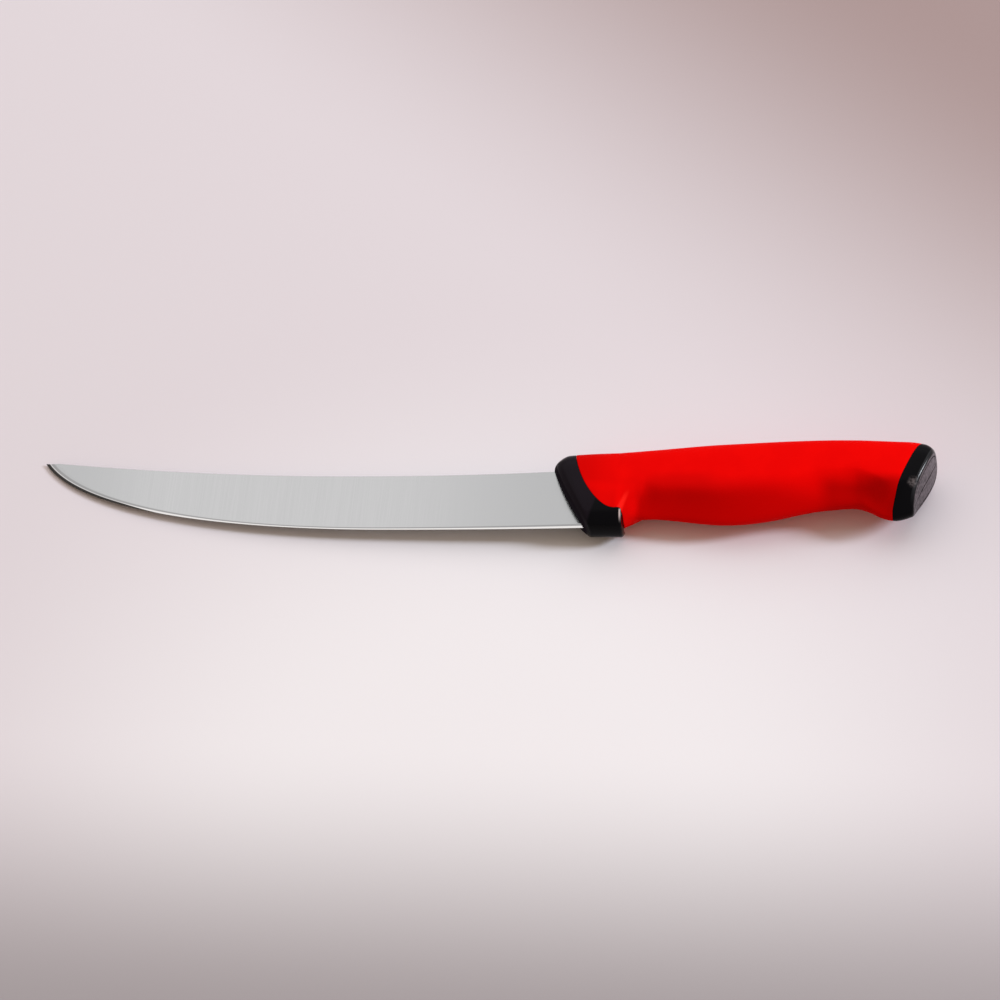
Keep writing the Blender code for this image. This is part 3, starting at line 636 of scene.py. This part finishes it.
nose_line = lip_line.copy()
nose_line[:, 0] = 0.0
pull = np.clip((lip_line[:, 0] - NOSE_PULL_FROM) / (LIP_END - NOSE_PULL_FROM), 0, 1)
nose_line[:, 1] += NOSE_PULL * pull * np.clip((1 - lip_line[:, 1] / GIRTH) / NOSE_PULL_WIDTH, 0, 1)
below_corner = lip_line[:, 1] - lip_line[lip_line[:, 0] > LIP_END - LIP_END_WITHIN, 1].min()
lip_round = SEAM_ROUND + (LIP_ROUND - SEAM_ROUND) * soft_step(below_corner / LIP_ROUND_RUN)
front_ring = handle_skin(*nose_line.T, lip=LIP_STEP)
ring_height = front_ring[:, 1]
slot_ends = soft_step(1 - ring_height / SLOT_SOFT) * soft_step((ring_height + SLOT_DEPTH) / SLOT_SOFT)
slot_wall = np.minimum(front_ring[:, 2], SLOT_HALF * slot_ends)
front_middle = front_ring * (1, 1, 0)
slot_floor = front_middle + SLOT_REACH * slot_ends[:, None] * (1, 0, 0)
front_halves = slot_wall + (front_ring[:, 2] - slot_wall) * np.array(FRONT_SHARES)[:, None]
front_rows = np.concatenate([
    [slot_floor, slot_floor + slot_wall[:, None] * (0, 0, 1)],
    front_middle + front_halves[..., None] * (0, 0, 1)])
guard_lines = between(
    beside(lip_line, -SEAM / 2 - lip_round), nose_line, np.linspace(0, 1, GUARD_ROWS),
    s_power=2.0, w_power=5.0)
guard_rows = handle_skin(guard_lines[..., 0], guard_lines[..., 1], lip=LIP_STEP)[::-1]
rod_shares = np.linspace(0, 1, ROD_ROWS)[1:-1]
rod_lines = between(beside(guard_line, -SEAM / 2), beside(cap_line, SEAM / 2), rod_shares)
rod_inset = GRIP_WALL + GROOVE_DEPTH * groove_share(rod_lines[..., 0])
rod_rows = handle_skin(rod_lines[..., 0], rod_lines[..., 1], inset=rod_inset)
butt_line = cap_line.copy()
butt_line[:, 0] = HANDLE_LENGTH
cap_lines = between(
    beside(cap_line, SEAM / 2 + SEAM_ROUND), butt_line, np.linspace(0, 1, CAP_ROWS), s_power=1.7, w_power=3.0)
cap_rows = handle_skin(cap_lines[..., 0], cap_lines[..., 1])
end_widths, end_sunk = np.array(END_FACE, float).T[..., None, None]
end_rows = cap_rows[-1] * (1, 1, 0) + end_widths * cap_rows[-1] * (0, 0, 1)
end_rows = end_rows - BUTT_GROOVE * end_sunk * (1, 0, 0)
core_rows = np.concatenate([
    front_rows[:-1], guard_rows[:-1], seam_edge(lip_line, -1, lip_round, GRIP_WALL, guard_line, LIP_STEP),
    rod_rows, seam_edge(cap_line, 1, SEAM_ROUND, GRIP_WALL, cap_line)[::-1], cap_rows[1:], end_rows[1:]])

material, shader, tap = new_material("core_plastic", specular_ior_level=0.045, coat_roughness=0.25)
place = tap.add("TexCoord", out="Object")
grain = tap.add("TexNoise", {}, {"Vector": place, "Scale": 2200.0, "Detail": 2.0})
patches = tap.add("TexNoise", {}, {"Vector": place, "Scale": 160.0, "Detail": 3.0})
mottle = tap.add("TexNoise", {}, {"Vector": place, "Scale": 900.0, "Detail": 4.0})
knife, along, height, _ = knife_frame(place)
# Painted sheen: the guard's side is a lighter black than the lip, the rod and the cap
on_guard_sheen = (along - GUARD_SHEEN_LEAN * height + GUARD_SHEEN_WAVER * patches).ramp(*GUARD_SHEEN_SIDE)
black = on_guard_sheen.blend(PLASTIC_BLACK, GUARD_BLACK_PAINTED_SHEEN)
# Painted highlight: a mottled pale spot on the cap's side, below the rim
from_cap_highlight = tap.add("VectorMath", {"operation": "DISTANCE"}, {0: knife, 1: CAP_HIGHLIGHT_AT}, out="Value")
black = (from_cap_highlight.ramp(*CAP_HIGHLIGHT_REACH) * mottle.ramp(*MOTTLE_SPREAD)).blend(black, CAP_PAINTED_HIGHLIGHT)
# Painted glint: a pale streak down the lip's rounded rear edge
glint = along.ramp(*GLINT_FRONT) * along.ramp(*GLINT_REAR)
glint *= height.ramp(*GLINT_FOOT) * height.ramp(*GLINT_TOP)
black = glint.blend(black, GLINT_GREY)
off_end = along - HANDLE_LENGTH + BUTT_LEAN * height.ramp(BUTT_LEAN_TOP, BUTT_LEAN_BOTTOM)
on_end = off_end.ramp(*END_EDGE)
# Painted reflection: the butt's end face is grey, paler towards the top and mottled
end_reflection_share = height.ramp(*END_REFLECTION_PALER_UP) * (1 - END_REFLECTION_MOTTLE) + mottle.ramp(*MOTTLE_SPREAD) * END_REFLECTION_MOTTLE
feed(shader, on_end.blend(black, end_reflection_share.blend(END_PAINTED_REFLECTION, END_PAINTED_REFLECTION_PALE)), "Base Color")
deep = -1 * height / HEEL_DEPTH
off_front = along - FRONT_LEAN * deep * (FRONT_STRAIGHT + (1 - FRONT_STRAIGHT) * deep)
on_front = off_front.ramp(*FRONT_EDGE)
rough = PLASTIC_ROUGHNESS + 0.08 * patches + END_ROUGHER * on_end + FRONT_ROUGHER * on_front
feed(shader, rough, "Roughness")
feed(shader, RIM_COAT * off_end.ramp(*RIM_FROM) * (1 - on_end) * height.ramp(*RIM_UP), "Coat Weight")
feed(shader, tap.add("Bump", {}, {"Strength": 0.25, "Distance": 0.00006, "Height": grain}), "Normal")
core = closed_skin("core_moulding", core_rows, True, material)
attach(core, "root")
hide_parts("handle_core")

# Grip: soft red rubber, moulded over the core between the guard's curved line and the cap's. Its edges
# are slightly rounded at the seams, and ribs inside it fill the core's grooves. Its red holds painted shade
# low down, in the hollows and near the guard, painted light by the lip and a painted highlight along the
# fold.
RUBBER_RED = (0.79, 0.0006, 0.0004, 1.0)
RUBBER_RED_WORN = (0.82, 0.001, 0.0006, 1.0)
RUBBER_RED_PAINTED_SHADE_LOW = (0.55, 0.0004, 0.0003, 1.0)
RUBBER_RED_PAINTED_SHADE_HOLLOW = (0.47, 0.0003, 0.0002, 1.0)
RUBBER_RED_PAINTED_SHADE_FRONT = (0.62, 0.0005, 0.0003, 1.0)
RUBBER_RED_PAINTED_LIGHT_BY_LIP = (0.86, 0.001, 0.0007, 1.0)
RUBBER_RED_FOLD_HIGHLIGHT = (0.95, 0.012, 0.008, 1.0)
# Painted shade and light: each pair is where a soft step starts and ends, along the knife's own X or down its
# Y
PATCH_SPREAD = (0.35, 0.65)
LOW_SHADE_DOWN = (-0.0075, -0.0170)
HOLLOW_SHADE_FROM = (0.0945, 0.1020)
HOLLOW_SHADE_DOWN = (-0.0065, -0.0115)
WAIST_SHADE = 0.33
WAIST_FROM = (0.0330, 0.0390)
WAIST_TO = (0.0640, 0.0540)
WAIST_DOWN = (-0.0055, -0.0100)
WAIST_FOOT = (-0.0185, -0.0150)
FRONT_SHADE_TO = (0.0290, 0.0090)
FRONT_SHADE_UP = (-0.0130, -0.0080)
BY_LIP_LIGHT_SHARE = 0.65
BY_LIP_LIGHT_FROM = (0.0120, 0.0200)
BY_LIP_LIGHT_TO = (0.0335, 0.0300)
BY_LIP_LIGHT_DOWN = (-0.0085, -0.0130)
FOLD_AT = 0.0339
FOLD_LEAN = 0.39
FOLD_REACH = (0.0013, 0.0002)
FOLD_DOWN = (-0.0130, -0.0175)
RUBBER_ROUGHNESS = 0.50
OUTER_ROWS = 181

front_edge = seam_edge(guard_line, 1, SEAM_ROUND, GRIP_WALL - SEAM, guard_line)
rear_edge = seam_edge(cap_line, -1, SEAM_ROUND, GRIP_WALL - SEAM, cap_line)
outer_lines = between(
    beside(guard_line, SEAM / 2 + SEAM_ROUND), beside(cap_line, -SEAM / 2 - SEAM_ROUND),
    np.linspace(0, 1, OUTER_ROWS))
outer_rows = handle_skin(outer_lines[..., 0], outer_lines[..., 1])
bore_lines = between(beside(guard_line, SEAM / 2), beside(cap_line, -SEAM / 2), rod_shares)
bore_inset = GRIP_WALL - SEAM + GROOVE_DEPTH * groove_share(bore_lines[..., 0], gap=SEAM)
bore_rows = handle_skin(bore_lines[..., 0], bore_lines[..., 1], inset=bore_inset)
grip_rows = np.concatenate([outer_rows[:-1], rear_edge, bore_rows[::-1], front_edge[:0:-1]])

material, shader, tap = new_material("grip_rubber", specular_ior_level=0.014)
place = tap.add("TexCoord", out="Object")
grain = tap.add("TexNoise", {}, {"Vector": place, "Scale": 1500.0, "Detail": 3.0})
patches = tap.add("TexNoise", {}, {"Vector": place, "Scale": 110.0, "Detail": 3.0})
_, along, height, _ = knife_frame(place)
red = patches.ramp(*PATCH_SPREAD).blend(RUBBER_RED, RUBBER_RED_WORN)
# Painted shade: the red darkens towards the bottom
red = height.ramp(*LOW_SHADE_DOWN).blend(red, RUBBER_RED_PAINTED_SHADE_LOW)
# Painted shade in the rear finger hollow
red = (along.ramp(*HOLLOW_SHADE_FROM) * height.ramp(*HOLLOW_SHADE_DOWN)).blend(red, RUBBER_RED_PAINTED_SHADE_HOLLOW)
# Painted shade in the front finger hollow at the waist
in_waist = along.ramp(*WAIST_FROM) * along.ramp(*WAIST_TO)
in_waist *= height.ramp(*WAIST_DOWN) * height.ramp(*WAIST_FOOT)
red = (WAIST_SHADE * in_waist).blend(red, RUBBER_RED_PAINTED_SHADE_HOLLOW)
# Painted shade on the upper grip next to the guard
red = (along.ramp(*FRONT_SHADE_TO) * height.ramp(*FRONT_SHADE_UP)).blend(red, RUBBER_RED_PAINTED_SHADE_FRONT)
# Painted light on the lower grip just behind the lip
lit_by_lip = along.ramp(*BY_LIP_LIGHT_FROM) * along.ramp(*BY_LIP_LIGHT_TO) * height.ramp(*BY_LIP_LIGHT_DOWN)
red = (BY_LIP_LIGHT_SHARE * lit_by_lip).blend(red, RUBBER_RED_PAINTED_LIGHT_BY_LIP)
# Painted highlight: a bright streak along the fold that rises from the lip
off_fold = tap.maths("ABSOLUTE", along - FOLD_AT - FOLD_LEAN * height)
red = (off_fold.ramp(*FOLD_REACH) * height.ramp(*FOLD_DOWN)).blend(red, RUBBER_RED_FOLD_HIGHLIGHT)
feed(shader, red, "Base Color")
feed(shader, RUBBER_ROUGHNESS + 0.12 * patches, "Roughness")
feed(shader, tap.add("Bump", {}, {"Strength": 0.2, "Distance": 0.00005, "Height": grain}), "Normal")
grip = closed_skin("grip_sleeve", grip_rows, False, material)
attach(grip, "root")
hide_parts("grip")
